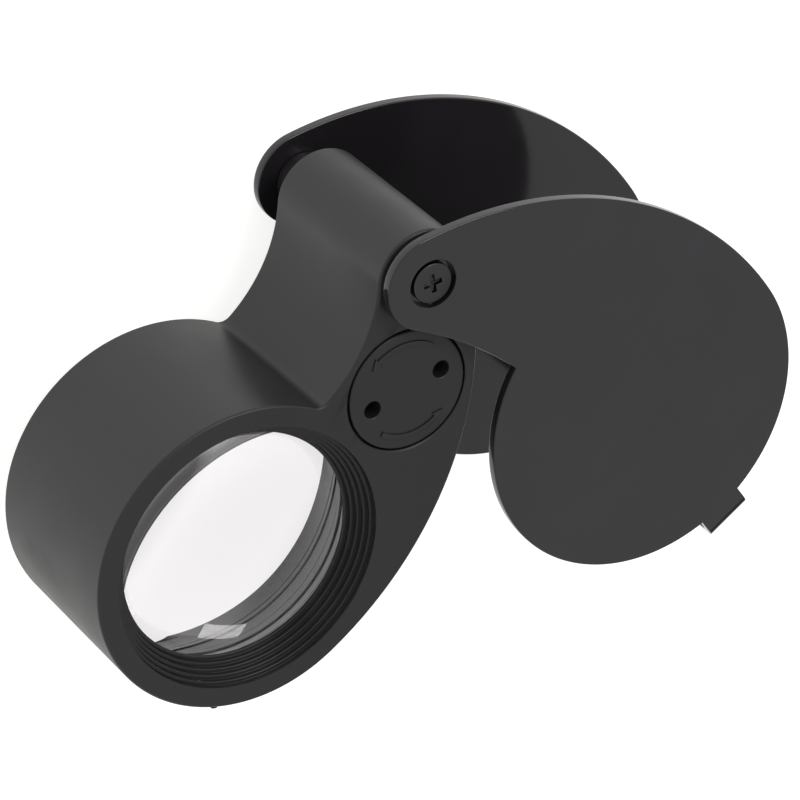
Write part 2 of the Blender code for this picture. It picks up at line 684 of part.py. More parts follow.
def build_cap():
    """A cap that locks with two lugs under a ledge, turned with a two-pin spanner."""
    plastic = new_material("cap_plastic", (0.022, 0.022, 0.024), 0.45)
    top = BODY_FRONT
    low = top - CAP_THICKNESS
    rim = 0.2
    profile = [(0, top), (CAP_RADIUS - rim, top), (CAP_RADIUS, top - rim), (CAP_RADIUS, low),
               (CAP_NECK_RADIUS, low), (CAP_NECK_RADIUS, CAP_BOTTOM), (0, CAP_BOTTOM)]
    cap = add_part("battery_cap", turned("battery_cap", profile, steps=48), CAP, plastic)
    low, high = LUG_SPAN
    lugs = add_cutter("cap_lugs", cylinder("cap_lugs", LUG_RADIUS, low, high), CAP)
    trim = box("lug_trim", (14, LUG_WIDTH, 3), (0, 0, low), SPANNER_ANGLE)
    combine(lugs, add_cutter("lug_trim", trim, CAP),
            'INTERSECT')
    combine(cap, lugs, 'UNION')
    for side in (-1, 1):
        angle = math.radians(SPANNER_ANGLE)
        x = side * SPANNER_REACH * math.cos(angle)
        y = side * SPANNER_REACH * math.sin(angle)
        name = "spanner_hole_%s" % ("a" if side < 0 else "b")
        combine(cap, add_cutter(name, cylinder(name, SPANNER_HOLE, top - 1.0, top + 1, x, y, 24), CAP))

    nickel = new_material("cap_contact_nickel", (0.72, 0.70, 0.64), 0.3, metallic=1.0)
    high = CAP_BOTTOM - TOUCH_GAP
    low = TOP_CELL + 0.05
    add_part("cap_contact", cylinder("cap_contact", 4.4, low, high, steps=32), CAP, nickel)


def build_seal():
    """A rubber ring in its groove in the ledge, under the cap's rim."""
    rubber = new_material("seal_rubber", (0.015, 0.015, 0.015), 0.7)
    centre = (SEAL_RADIUS, CAP_SEAT - SEAL_SECTION)
    profile = arc(centre, SEAL_SECTION, 90, -210, 5)
    add_part("cap_seal", turned("cap_seal", profile, CAP_X, CAP_Y, ring=True), UNIT, rubber)


clear_scene()
PARTS = new_collection("jewelers_loupe")
CUTTERS = new_collection("jewelers_loupe_cutters")
COVER = new_frame("cover_frame", 0, -COVER_REACH, COVER_ANGLE)
UNIT = new_frame("lens_unit_frame", 0, -COVER_REACH, LENS_UNIT_ANGLE)
CAP = new_frame("cap_frame", CAP_X, CAP_Y, 0, UNIT)

build_cover_shell()
build_pivot()
build_pivot_screws()
build_housing()
build_lenses()
build_cells()
build_contacts()
build_electronics()
build_switch()
build_bush()
build_cap()
build_seal()
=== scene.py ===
"""Looks for the folding loupe: fine meshes, materials, floor, light and camera.

Everything is in metres, in the CAD part's frame: +Z is the lens axis, the origin is the middle
of the rear cover plate's round part, and the cover runs along +Y.
"""

import json
import math

import bmesh
import bpy
from mathutils import Matrix, Vector


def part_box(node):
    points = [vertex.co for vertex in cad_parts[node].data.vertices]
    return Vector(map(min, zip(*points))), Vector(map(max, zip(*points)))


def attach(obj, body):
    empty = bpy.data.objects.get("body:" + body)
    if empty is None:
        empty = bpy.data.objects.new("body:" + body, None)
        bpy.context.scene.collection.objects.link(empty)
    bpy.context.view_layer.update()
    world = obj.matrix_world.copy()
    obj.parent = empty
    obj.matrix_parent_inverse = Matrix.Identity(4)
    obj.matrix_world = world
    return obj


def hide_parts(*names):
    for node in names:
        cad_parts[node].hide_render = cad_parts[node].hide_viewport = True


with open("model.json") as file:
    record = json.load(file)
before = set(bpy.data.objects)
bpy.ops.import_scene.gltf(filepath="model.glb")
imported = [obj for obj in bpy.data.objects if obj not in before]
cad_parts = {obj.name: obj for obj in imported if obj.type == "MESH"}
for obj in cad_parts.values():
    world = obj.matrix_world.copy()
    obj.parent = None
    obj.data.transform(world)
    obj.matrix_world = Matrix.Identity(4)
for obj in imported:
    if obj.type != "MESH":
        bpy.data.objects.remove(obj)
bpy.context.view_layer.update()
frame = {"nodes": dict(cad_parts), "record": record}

MM = 0.001
SHARP_ANGLE = 35


# Where things are, worked out from the frame ---------------------------------------------------

def middle(node):
    """The middle of a CAD node's box, in metres."""
    low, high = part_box(node)
    return (Vector(low) + Vector(high)) / 2


def heights(node):
    """Lowest and highest point of a CAD node, in millimetres."""
    low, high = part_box(node)
    return low[2] / MM, high[2] / MM


def in_plan(point):
    """A point's X and Y in millimetres."""
    return (point[0] / MM, point[1] / MM)


JOINTS = {joint["name"]: joint for joint in frame["record"]["behaviour"]["joints"]}
PIVOT = in_plan(JOINTS["lens_swing"]["pos_m"])
LENS = in_plan(middle("front_lens"))
CAP = in_plan(JOINTS["battery_cap_turn"]["pos_m"])
UNIT_ANGLE = math.degrees(math.atan2(LENS[1] - PIVOT[1], LENS[0] - PIVOT[0]))
COVER_ANGLE = UNIT_ANGLE + JOINTS["lens_swing"]["range_deg"][1]
REAR_FACE, FRONT_FACE = heights("cover_shell")
BODY_BACK, BODY_FRONT = heights("lens_housing")
OVER = BODY_FRONT + 1
UNDER = BODY_BACK - 1
LENS_REACH = math.dist(LENS, PIVOT)
COVER_REACH = math.dist((0, 0), PIVOT)
CAP_REACH = math.dist(CAP, PIVOT)

# Sizes from here on are in millimetres and turns in degrees. The lens unit's outline:
BARREL_RADIUS = 15.5
BOSS_RADIUS = 4.63
ARM_ARC_RADIUS = 34.9
HOUSING_NECK_ARC = 15.4
CORNER_DEPTH = 1.93
CORNER_FILLET = 1.3
HOUSING_RIM = 0.3
GATE_TURN = 23

# The cover sheet and its screws
DISC_RADIUS = 16.6
LOBE_RADIUS = 4.72
COVER_ARC_RADIUS = 35.7
COVER_NECK_ARC = 39.5
CUSP_DEPTH = 2.85
PLATE_THICKNESS = 1.0
PLATE_RIM = 0.14
BRIDGE_DIRECTION = -15.3
BRIDGE_INNER = 18.15
BRIDGE_WIDTH = 4.8
BRIDGE_BEND = 1.4
BRIDGE_OVERLAP = 1.3
PLATE_HOLE = 1.3
SINK_RADIUS = 2.4
SINK_DEPTH = 0.75
SCREW_HEAD = 2.0
SCREW_SHANK = 1.0
SCREW_LENGTH = 4.0
HEAD_DEPTH = 0.6
RECESS_TURNS = (50, 140)
RECESS_SIZE = (1.9, 0.52, 0.9)

# The bores in the lens unit; the baffle's depth is from the front face down to the lip
BAFFLE_RADIUS = 13.39
BAFFLE_STEPS = 5
BAFFLE_DEPTH = 2.73
GROOVE = 0.10
LIP_RADIUS = 11.54
LIP_THICKNESS = 0.32
BORE_RADIUS = 12.5
PIVOT_BORE = 3.05
SPRING_HOLE = 2.6
POCKET = [(5.5, 1.1), (16.0, 1.1), (16.0, 11.0), (9.0, 11.0), (5.5, 8.0)]
POCKET_TOP = 9.0
BEZEL_RECESS = [(4.6, 0.2), (16.9, 0.2), (16.9, 11.9), (8.6, 11.9), (4.6, 8.4)]
BEZEL_DEPTH = 1.2

# The doublet and its rings; each lens face has its rim's height and its radius of curvature
LENS_RADIUS = 12.3
LENS_TOP = (19.75, 28.0)
LENS_BOTTOM = (13.3, 40.0)
RING_OUTER = 12.35
SPACER_INNER = 12.0
RETAINER_INNER = 11.9
SLOT_BAR = (25.4, 1.2, 1.6)
LENS_STEPS = 160
SIDE_SLOPE = 0.05

# The battery cap, its seat and its raised marks; a mark's turns start at a spanner hole
CAP_RADIUS = 6.05
CAP_FLANGE = 1.2
CAP_NECK = 4.95
CAP_BOTTOM = 19.95
SEAT_RADIUS = 6.25
SEAT_DEPTH = 1.3
CAP_HOLE = (5.15, 10.5)
LUG_GROOVE = (5.75, 19.85, 21.05)
SPANNER_REACH = 3.79
SPANNER_ANGLE = -35.9
SPANNER_DEPTH = 1.8
MARK_RADII = (4.5, 5.0)
MARK_TURNS = (38, 112)
ARROW_RADII = (5.35, 4.78, 4.15)
ARROW_TIP_TURN = 124
MARK_HEIGHT = 0.15

# The lamps and the switch's knob
LED_X = 13.9
LED_Y = (3.4, 8.8)
LED_RADIUS = 1.5
LED_FLANGE = 1.85
LED_HOLE = 1.6
KNOB = (8.3, 3.9)
KNOB_FOOT = (3.4, 4.4, 0.7)
KNOB_STEM = (1.8, 2.4)
KNOB_SLOT = (2.1, 4.7, 6)
KNOB_RIDGES = 4
RIDGE_SIZE = (1.7, 0.3, 0.6)
RIDGE_PITCH = 0.56

# The battery cap's middle in the lens unit's own frame, whose X runs from the pivot to the lens
CAP_TURN = math.radians(math.degrees(math.atan2(CAP[1] - PIVOT[1], CAP[0] - PIVOT[0])) - UNIT_ANGLE)
CAP_LOCAL = (CAP_REACH * math.cos(CAP_TURN), CAP_REACH * math.sin(CAP_TURN))


def frame_at(point, turn):
    """A frame at a point in plan (millimetres), turned about Z by degrees."""
    shift = Matrix.Translation(Vector((*point, 0)) * MM)
    return shift @ Matrix.Rotation(math.radians(turn), 4, 'Z')


COVER_FRAME = frame_at(PIVOT, COVER_ANGLE)
UNIT_FRAME = frame_at(PIVOT, UNIT_ANGLE)
CAP_FRAME = UNIT_FRAME @ Matrix.Translation(Vector((*CAP_LOCAL, 0)) * MM)


# Mesh helpers ---------------------------------------------------------------------------------

def link(obj):
    """The object, put into the scene."""
    bpy.context.scene.collection.objects.link(obj)
    return obj


def mesh_from(bm, name):
    """A mesh from a bmesh, which is freed."""
    mesh = bpy.data.meshes.new(name)
    bm.to_mesh(mesh)
    bm.free()
    return mesh


def frozen(obj, weld=1e-6):
    """The evaluated mesh of an object, with its seams welded; the object is removed."""
    depsgraph = bpy.context.evaluated_depsgraph_get()
    depsgraph.update()
    mesh = bpy.data.meshes.new_from_object(obj.evaluated_get(depsgraph))
    bm = bmesh.new()
    bm.from_mesh(mesh)
    bmesh.ops.remove_doubles(bm, verts=bm.verts, dist=weld)
    bm.to_mesh(mesh)
    bm.free()
    bpy.data.objects.remove(obj, do_unlink=True)
    return mesh


def moved(mesh, shift):
    """The mesh moved by (x, y, z) millimetres."""
    mesh.transform(Matrix.Translation(Vector(shift) * MM))
    return mesh


def carve(mesh, *tools, operation='DIFFERENCE'):
    """The mesh after Boolean cuts, joins or trims with other meshes."""
    body = link(bpy.data.objects.new(mesh.name, mesh))
    helpers = []
    for tool in tools:
        helper = link(bpy.data.objects.new(tool.name, tool))
        helpers.append(helper)
        modifier = body.modifiers.new(tool.name, 'BOOLEAN')
        modifier.operation = operation
        modifier.object = helper
        modifier.solver = 'EXACT'
    result = frozen(body)
    for helper in helpers:
        bpy.data.objects.remove(helper, do_unlink=True)
    return result


def cylinder(name, radius, low, high, x=0.0, y=0.0, steps=96):
    """An upright cylinder between two heights."""
    bm = bmesh.new()
    bmesh.ops.create_cone(bm, cap_ends=True, segments=steps, radius1=radius * MM,
                          radius2=radius * MM, depth=(high - low) * MM)
    bmesh.ops.translate(bm, verts=bm.verts, vec=Vector((x, y, (low + high) / 2)) * MM)
    return mesh_from(bm, name)


def box(name, size, centre, turn=0.0, rim=0.0):
    """A box with rounded edges, turned about its own middle by degrees."""
    bm = bmesh.new()
    bmesh.ops.create_cube(bm, size=1.0)
    bmesh.ops.scale(bm, verts=bm.verts, vec=Vector(size) * MM)
    if rim:
        bmesh.ops.bevel(bm, geom=bm.edges[:], offset=rim * MM, segments=3, profile=0.5,
                        affect='EDGES')
    bmesh.ops.rotate(bm, verts=bm.verts, matrix=Matrix.Rotation(math.radians(turn), 3, 'Z'))
    bmesh.ops.translate(bm, verts=bm.verts, vec=Vector(centre) * MM)
    return mesh_from(bm, name)


def turned(name, profile, x=0.0, y=0.0, steps=96, ring=False):
    """A profile of (radius, height) turned about Z, outer side first and downwards."""
    bm = bmesh.new()
    verts = [bm.verts.new((radius * MM, 0, height * MM)) for radius, height in profile]
    for first, second in zip(verts, verts[1:]):
        bm.edges.new((first, second))
    if ring:
        bm.edges.new((verts[-1], verts[0]))
    lathe = link(bpy.data.objects.new(name, mesh_from(bm, name)))
    screw = lathe.modifiers.new("turn", 'SCREW')
    screw.axis = 'Z'
    screw.angle = math.tau
    screw.steps = steps
    screw.render_steps = steps
    screw.use_merge_vertices = True
    screw.merge_threshold = 1e-6
    return moved(frozen(lathe), (x, y, 0))


def softened(profile, rim, steps=3):
    """An open profile with its corners rounded, except its ends."""
    count = len(profile)
    points = []
    for index, corner in enumerate(profile):
        if index in (0, count - 1):
            points.append(corner)
            continue
        here = Vector(corner)
        before = Vector(profile[index - 1]) - here
        after = Vector(profile[index + 1]) - here
        reach = min(rim, before.length * 0.45, after.length * 0.45)
        start = here + before.normalized() * reach
        end = here + after.normalized() * reach
        for step in range(steps + 1):
            share = step / steps
            point = start.lerp(here, share).lerp(here.lerp(end, share), share)
            points.append((point.x, point.y))
    return points


def slab(name, outline, low, high, rim=0.0, rim_steps=4):
    """A flat outline given thickness between two heights, with rounded rims."""
    curve = bpy.data.curves.new(name, 'CURVE')
    curve.dimensions = '2D'
    curve.fill_mode = 'BOTH'
    curve.extrude = ((high - low) / 2 - rim) * MM
    curve.bevel_depth = rim * MM
    curve.bevel_resolution = rim_steps
    curve.offset = -rim * MM
    spline = curve.splines.new('POLY')
    spline.points.add(len(outline) - 1)
    for point, (x, y) in zip(spline.points, outline):
        point.co = (x * MM, y * MM, 0, 1)
    spline.use_cyclic_u = True
    holder = link(bpy.data.objects.new(name, curve))
    return moved(frozen(holder), (0, 0, (low + high) / 2))


def arc(centre, radius, start, end, steps):
    """Points on an arc, both ends included; angles in degrees."""
    points = []
    for index in range(steps + 1):
        angle = math.radians(start + (end - start) * index / steps)
        points.append((centre[0] + radius * math.cos(angle), centre[1] + radius * math.sin(angle)))
    return points


def polar(radius, turn):
    """The point at a radius and an angle in degrees."""
    return (radius * math.cos(math.radians(turn)), radius * math.sin(math.radians(turn)))


def direction(start, end):
    """The angle of the line from one point to another, in degrees."""
    return math.degrees(math.atan2(end[1] - start[1], end[0] - start[0]))


def lower_meeting(first, first_radius, second, second_radius):
    """The lower of the two points where two circles meet."""
    gap = math.dist(first, second)
    along = (gap * gap + first_radius ** 2 - second_radius ** 2) / (2 * gap)
    across = math.sqrt(first_radius ** 2 - along ** 2)
    unit = ((second[0] - first[0]) / gap, (second[1] - first[1]) / gap)
    return (first[0] + unit[0] * along + unit[1] * across,
            first[1] + unit[1] * along - unit[0] * across)


def upper_meeting(first, first_radius, second, second_radius):
    """The upper of the two points where two circles meet."""
    return lower_meeting(second, second_radius, first, first_radius)


def unique(points, least=0.004):
    """Drop points that lie on the one before, such as where two arcs meet."""
    kept = [points[0]]
    for point in points[1:]:
        if math.dist(point, kept[-1]) > least:
            kept.append(point)
    if math.dist(kept[0], kept[-1]) < least:
        kept.pop()
    return kept


def piece(name, mesh, body, material, nodes, at):
    """A finished, shaded piece that rides on a body and stands for CAD nodes."""
    mesh.transform(at)
    mesh.materials.clear()
    mesh.materials.append(material)
    mesh.name = name
    mesh.shade_smooth()
    mesh.set_sharp_from_angle(angle=math.radians(SHARP_ANGLE))
    obj = link(bpy.data.objects.new(name, mesh))
    weighted = obj.modifiers.new("face weighted normals", 'WEIGHTED_NORMAL')
    weighted.keep_sharp = True
    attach(obj, body)
    if nodes:
        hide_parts(*nodes)


# Materials ------------------------------------------------------------------------------------

def principled(name, colour, roughness, metallic=0.0, **sockets):
    """A new material with its node tree and shader; other sockets are named with underscores."""
    material = bpy.data.materials.new(name)
    material.use_nodes = True
    shader = material.node_tree.nodes["Principled BSDF"]
    shader.inputs["Base Color"].default_value = (*colour, 1)
    shader.inputs["Roughness"].default_value = roughness
    shader.inputs["Metallic"].default_value = metallic
    for socket, value in sockets.items():
        shader.inputs[socket.replace("_", " ")].default_value = value
    return material, material.node_tree, shader


def noise(tree, scale, detail=4.0, roughness=0.55, stretch=(1, 1, 1)):
    """Noise in the object's own metres; scale is in waves per millimetre."""
    coordinates = tree.nodes.new("ShaderNodeTexCoord")
    mapping = tree.nodes.new("ShaderNodeMapping")
    mapping.inputs["Scale"].default_value = Vector(stretch) / MM
    tree.links.new(coordinates.outputs["Object"], mapping.inputs["Vector"])
    texture = tree.nodes.new("ShaderNodeTexNoise")
    texture.inputs["Scale"].default_value = scale
    texture.inputs["Detail"].default_value = detail
    texture.inputs["Roughness"].default_value = roughness
    tree.links.new(mapping.outputs["Vector"], texture.inputs["Vector"])
    return texture.outputs["Fac"]


def ranged(tree, value, low, high, start=0.3, end=0.7):
    """The value's stretch from start to end mapped onto low to high."""
    node = tree.nodes.new("ShaderNodeMapRange")
    node.inputs["From Min"].default_value = start
    node.inputs["From Max"].default_value = end
    node.inputs["To Min"].default_value = low
    node.inputs["To Max"].default_value = high
    tree.links.new(value, node.inputs["Value"])
    return node.outputs["Result"]


def blended(tree, value, first, second):
    """A colour between two, by a value from 0 to 1."""
    node = tree.nodes.new("ShaderNodeMix")
    node.data_type = 'RGBA'
    colours = [socket for socket in node.inputs if socket.type == 'RGBA']
    colours[0].default_value = (*first, 1)
    colours[1].default_value = (*second, 1)
    tree.links.new(value, node.inputs["Factor"])
    return [socket for socket in node.outputs if socket.type == 'RGBA'][0]


def bumped(tree, shader, height, depth):
    """Bump of a depth in millimetres at full height."""
    bump = tree.nodes.new("ShaderNodeBump")
    bump.inputs["Strength"].default_value = 1.0
    bump.inputs["Distance"].default_value = depth * MM
    tree.links.new(height, bump.inputs["Height"])
    tree.links.new(bump.outputs["Normal"], shader.inputs["Normal"])


def moulded_plastic(name, dark, light, roughness, grain=0.006):
    """Black moulding: fine spark-eroded grain, with broad faint variation in gloss and colour."""
    material, tree, shader = principled(name, dark, roughness, Specular_IOR_Level=0.34)
    patches = noise(tree, 0.12, 3.0)
    fine = noise(tree, 6.0, 2.0)
    colour = blended(tree, ranged(tree, patches, 0, 1), dark, light)
    tree.links.new(colour, shader.inputs["Base Color"])
    gloss = ranged(tree, patches, roughness - 0.05, roughness + 0.06)
    tree.links.new(gloss, shader.inputs["Roughness"])
    bumped(tree, shader, fine, grain)
    return material


def painted_sheet():
    """Black stoving paint: a slight orange peel under a smooth coat."""
    dark = (0.010, 0.009, 0.010)
    light = (0.013, 0.011, 0.013)
    material, tree, shader = principled("cover_paint", dark, 0.1, Specular_IOR_Level=0.42)
    patches = noise(tree, 0.10, 3.0)
    peel = noise(tree, 1.1, 2.0)
    colour = blended(tree, ranged(tree, patches, 0, 1), dark, light)
    tree.links.new(colour, shader.inputs["Base Color"])
    tree.links.new(ranged(tree, patches, 0.07, 0.12), shader.inputs["Roughness"])
    bumped(tree, shader, peel, 0.0008)
    return material


def metal(name, colour, roughness, grain=0.0008, stretch=(1, 1, 1)):
    """Turned or rolled metal with fine machining marks."""
    material, tree, shader = principled(name, colour, roughness, metallic=1.0)
    marks = noise(tree, 5.0, 4.0, stretch=stretch)
    gloss = ranged(tree, marks, roughness - 0.06, roughness + 0.08)
    tree.links.new(gloss, shader.inputs["Roughness"])
    bumped(tree, shader, marks, grain)
    return material


def optical_glass():
    """Polished glass with a faint film of dust in its reflection."""
    material, tree, shader = principled("lens_glass", (0.90, 0.88, 0.895), 0.0, IOR=1.52,
                                        Transmission_Weight=1.0)
    film = noise(tree, 0.4, 3.0)
    tree.links.new(ranged(tree, film, 0.0, 0.012), shader.inputs["Roughness"])
    return material


# Grey of the lens's ground side, from its lower rim (0) to its upper rim (1)
EDGE_BANDS = [
    (0.0, 0.02), (0.03, 0.80), (0.44, 0.85), (0.45, 0.02), (0.48, 0.02), (0.49, 0.75),
    (0.72, 0.80), (0.73, 0.03), (0.745, 0.03), (0.755, 0.80), (1.0, 0.85),
]


def ground_edge():
    """The matt ground sides of the two elements, with dark lines of cement and varnish."""
    material, tree, shader = principled("lens_edge", (0.3, 0.3, 0.3), 0.6)
    coordinates = tree.nodes.new("ShaderNodeTexCoord")
    split = tree.nodes.new("ShaderNodeSeparateXYZ")
    tree.links.new(coordinates.outputs["Object"], split.inputs["Vector"])
    place = ranged(tree, split.outputs["Z"], 0.0, 1.0, LENS_BOTTOM[0] * MM, LENS_TOP[0] * MM)
    ramp = tree.nodes.new("ShaderNodeValToRGB")
    bands = ramp.color_ramp
    bands.interpolation = 'LINEAR'
    for position, grey in EDGE_BANDS:
        stop = bands.elements.new(position)
        stop.color = (grey, grey, grey * 1.02, 1)
    bands.elements.remove(bands.elements[0])
    bands.elements.remove(bands.elements[-1])
    tree.links.new(place, ramp.inputs["Fac"])
    tree.links.new(ramp.outputs["Color"], shader.inputs["Base Color"])
    scratches = noise(tree, 3.0, 4.0, stretch=(1, 1, 6))
    bumped(tree, shader, scratches, 0.004)
    return material


def epoxy():
    """Clear cast epoxy with a trace of haze."""
    material, tree, shader = principled("led_epoxy", (0.97, 0.98, 1.0), 0.03, IOR=1.5,
                                        Transmission_Weight=1.0)
    haze = noise(tree, 0.8, 3.0)
    tree.links.new(ranged(tree, haze, 0.01, 0.06), shader.inputs["Roughness"])
    return material


def laminate():
    """Green solder resist over copper tracks that show through as a lighter green."""
    material, tree, shader = principled("board_laminate", (0.02, 0.13, 0.05), 0.3)
    tracks = ranged(tree, noise(tree, 0.7, 0.0, stretch=(1, 0.35, 1)), 0, 1, 0.48, 0.5)
    weave = noise(tree, 5.0, 1.0)
    colour = blended(tree, tracks, (0.015, 0.10, 0.035), (0.03, 0.19, 0.07))
    tree.links.new(colour, shader.inputs["Base Color"])
    tree.links.new(ranged(tree, weave, 0.25, 0.4), shader.inputs["Roughness"])
    bumped(tree, shader, tracks, 0.02)
    return material


PLASTIC = moulded_plastic("housing_plastic", (0.011, 0.0105, 0.011), (0.015, 0.014, 0.015), 0.42)
CAP_PLASTIC = moulded_plastic("cap_plastic", (0.010, 0.0095, 0.010), (0.014, 0.013, 0.014), 0.40)
KNOB_PLASTIC = moulded_plastic("knob_plastic", (0.014, 0.0135, 0.014), (0.020, 0.019, 0.020), 0.36)
ACETAL = moulded_plastic("spacer_acetal", (0.008, 0.008, 0.008), (0.012, 0.012, 0.012), 0.38, 0.003)
NYLON = moulded_plastic("washer_nylon", (0.62, 0.60, 0.54), (0.70, 0.68, 0.62), 0.42, 0.004)
RUBBER = moulded_plastic("seal_rubber", (0.010, 0.010, 0.010), (0.018, 0.018, 0.018), 0.7, 0.01)
PHOSPHOR = moulded_plastic("led_phosphor", (0.75, 0.62, 0.08), (0.85, 0.74, 0.16), 0.6, 0.02)
PAINT = painted_sheet()
GLASS = optical_glass()
EDGE = ground_edge()
EPOXY = epoxy()
BOARD = laminate()
SCREW_BLACK = metal("screw_black", (0.05, 0.05, 0.052), 0.30)
RING_BLACK = metal("retainer_black", (0.035, 0.035, 0.037), 0.34, stretch=(1, 1, 8))
ANODISED = metal("spacer_anodised", (0.13, 0.13, 0.132), 0.5, stretch=(1, 1, 8))
POST_STEEL = metal("post_steel", (0.52, 0.52, 0.53), 0.26, stretch=(1, 1, 10))
SPRING_STEEL = metal("spring_steel", (0.38, 0.38, 0.40), 0.32)
CELL_STEEL = metal("cell_steel", (0.66, 0.66, 0.66), 0.22, 0.0006)
NICKEL = metal("contact_nickel", (0.68, 0.65, 0.57), 0.26)
TIN = metal("lead_tin", (0.60, 0.60, 0.62), 0.30, stretch=(1, 1, 0.2))
COPPER = metal("wiper_copper", (0.78, 0.45, 0.28), 0.28, stretch=(6, 1, 1))
BRASS = metal("bush_brass", (0.70, 0.52, 0.24), 0.28, stretch=(1, 1, 8))
CAD_FINISHES = {
    "pivot_post": POST_STEEL, "front_washer": NYLON, "rear_spacer": ACETAL,
    "spring_washer": SPRING_STEEL,
    "battery_cell_1": CELL_STEEL, "battery_cell_2": CELL_STEEL, "battery_cell_3": CELL_STEEL,
    "battery_spring": NICKEL, "side_contact": NICKEL, "circuit_board": BOARD,
    "led_1_anode": TIN, "led_1_cathode": TIN, "led_2_anode": TIN, "led_2_cathode": TIN,
    "boss_bush": BRASS, "cap_seal": RUBBER, "switch_wiper": COPPER, "cap_contact": NICKEL,
}


# Cover ----------------------------------------------------------------------------------------

def plate_outline():
    """The plate in plan: a disc and a small lobe, joined by a full flank and a hollow neck."""
    pivot = (0.0, 0.0)
    disc = (COVER_REACH, 0.0)
    flank = lower_meeting(pivot, COVER_ARC_RADIUS - LOBE_RADIUS,
                          disc, COVER_ARC_RADIUS - DISC_RADIUS)
    cusp = (COVER_REACH - math.sqrt(DISC_RADIUS ** 2 - CUSP_DEPTH ** 2), -CUSP_DEPTH)
    neck = lower_meeting(pivot, LOBE_RADIUS + COVER_NECK_ARC, cusp, COVER_NECK_ARC)
    points = arc(disc, DISC_RADIUS, direction(disc, cusp), direction(flank, disc), 160)
    points += arc(flank, COVER_ARC_RADIUS, direction(flank, disc), direction(flank, pivot), 60)
    points += arc(pivot, LOBE_RADIUS, direction(flank, pivot), direction(pivot, neck) + 360, 40)
    points += arc(neck, COVER_NECK_ARC, direction(neck, pivot), direction(neck, cusp), 24)
    return unique(points)


def bridge_strip():
    """The strip that joins the plates, with its two bends."""
    outer = BRIDGE_INNER + PLATE_THICKNESS
    bend = BRIDGE_BEND
    fold = bend - PLATE_THICKNESS
    inner_top = FRONT_FACE - PLATE_THICKNESS
    root = DISC_RADIUS - BRIDGE_OVERLAP
    section = [(root, 0)]
    section += arc((outer - bend, bend), bend, -90, 0, 12)
    section += arc((outer - bend, FRONT_FACE - bend), bend, 0, 90, 12)
    section += [(root, FRONT_FACE), (root, inner_top)]
    section += arc((BRIDGE_INNER - fold, inner_top - fold), fold, 90, 0, 6)
    section += arc((BRIDGE_INNER - fold, PLATE_THICKNESS + fold), fold, 0, -90, 6)
    section += [(root, PLATE_THICKNESS)]
    mesh = slab("bridge", unique(section), -BRIDGE_WIDTH / 2, BRIDGE_WIDTH / 2, 0.12, 2)
    turn = Matrix.Rotation(math.radians(BRIDGE_DIRECTION), 4, 'Z')
    upright = Matrix.Rotation(math.radians(90), 4, 'X')
    mesh.transform(Matrix.Translation((COVER_REACH * MM, 0, 0)) @ turn @ upright)
    return mesh


def build_cover():
    """The bent sheet: two plates and the bridge, with a sunk screw seat in each plate."""
    outline = plate_outline()
    rear = slab("cover_shell", outline, 0, PLATE_THICKNESS, PLATE_RIM, 3)
    front = slab("front_plate", outline, FRONT_FACE - PLATE_THICKNESS, FRONT_FACE, PLATE_RIM, 3)
    shell = carve(rear, front, bridge_strip(), operation='UNION')
    mouth = SINK_RADIUS + 0.07
    sink = [(0, 1), (mouth, 1), (mouth, 0.04), (SINK_RADIUS, -0.05), (SINK_RADIUS, -SINK_DEPTH),
            (0, -SINK_DEPTH)]
    above = [(radius, FRONT_FACE + height) for radius, height in sink]
    below = [(radius, REAR_FACE - height) for radius, height in reversed(sink)]
    shell = carve(shell,
                  cylinder("hole", PLATE_HOLE, -1, FRONT_FACE + 1),
                  turned("front_sink", above, steps=72),
                  turned("rear_sink", below, steps=72))
    piece("cover_sheet", shell, "cover", PAINT, ["cover_shell"], COVER_FRAME)


def build_screws():
    """Flat screws with a cross recess, sunk into the plates."""
    for name, down in (("front_pivot_screw", 1), ("rear_pivot_screw", -1)):
        low, high = heights(name)
        face = high if down > 0 else low
        under_head = face - down * HEAD_DEPTH
        tip = face - down * SCREW_LENGTH
        profile = [(0, face), (SCREW_HEAD, face), (SCREW_HEAD, under_head),
                   (SCREW_SHANK, under_head), (SCREW_SHANK, tip), (0, tip)]
        if down < 0:
            profile.reverse()
        head = turned(name, softened(profile, 0.14), steps=72)
        for turn in RECESS_TURNS:
            head = carve(head, box("recess", RECESS_SIZE, (0, 0, face), turn, 0.08))
        piece(name + "_fine", head, "cover", SCREW_BLACK, [name], COVER_FRAME)


# Lens unit ------------------------------------------------------------------------------------

def housing_outline():
    """The unit in plan: a barrel and a small boss, and an arm with a full and a hollow side."""
    pivot = (0.0, 0.0)
    barrel = (LENS_REACH, 0.0)
    flank = lower_meeting(pivot, ARM_ARC_RADIUS - BOSS_RADIUS,
                          barrel, ARM_ARC_RADIUS - BARREL_RADIUS)
    edge = (LENS_REACH - math.sqrt(BARREL_RADIUS ** 2 - CORNER_DEPTH ** 2), -CORNER_DEPTH)
    neck = lower_meeting(pivot, BOSS_RADIUS + HOUSING_NECK_ARC, edge, HOUSING_NECK_ARC)
    corner = upper_meeting(neck, HOUSING_NECK_ARC - CORNER_FILLET,
                           barrel, BARREL_RADIUS + CORNER_FILLET)
    points = arc(barrel, BARREL_RADIUS, direction(barrel, corner), direction(flank, barrel), 170)
    points += arc(flank, ARM_ARC_RADIUS, direction(flank, barrel), direction(flank, pivot), 60)
    points += arc(pivot, BOSS_RADIUS, direction(flank, pivot), direction(pivot, neck) + 360, 44)
    points += arc(neck, HOUSING_NECK_ARC, direction(neck, pivot), direction(neck, corner), 24)
    points += arc(corner, CORNER_FILLET, direction(neck, corner), direction(corner, barrel), 14)
    return unique(points)


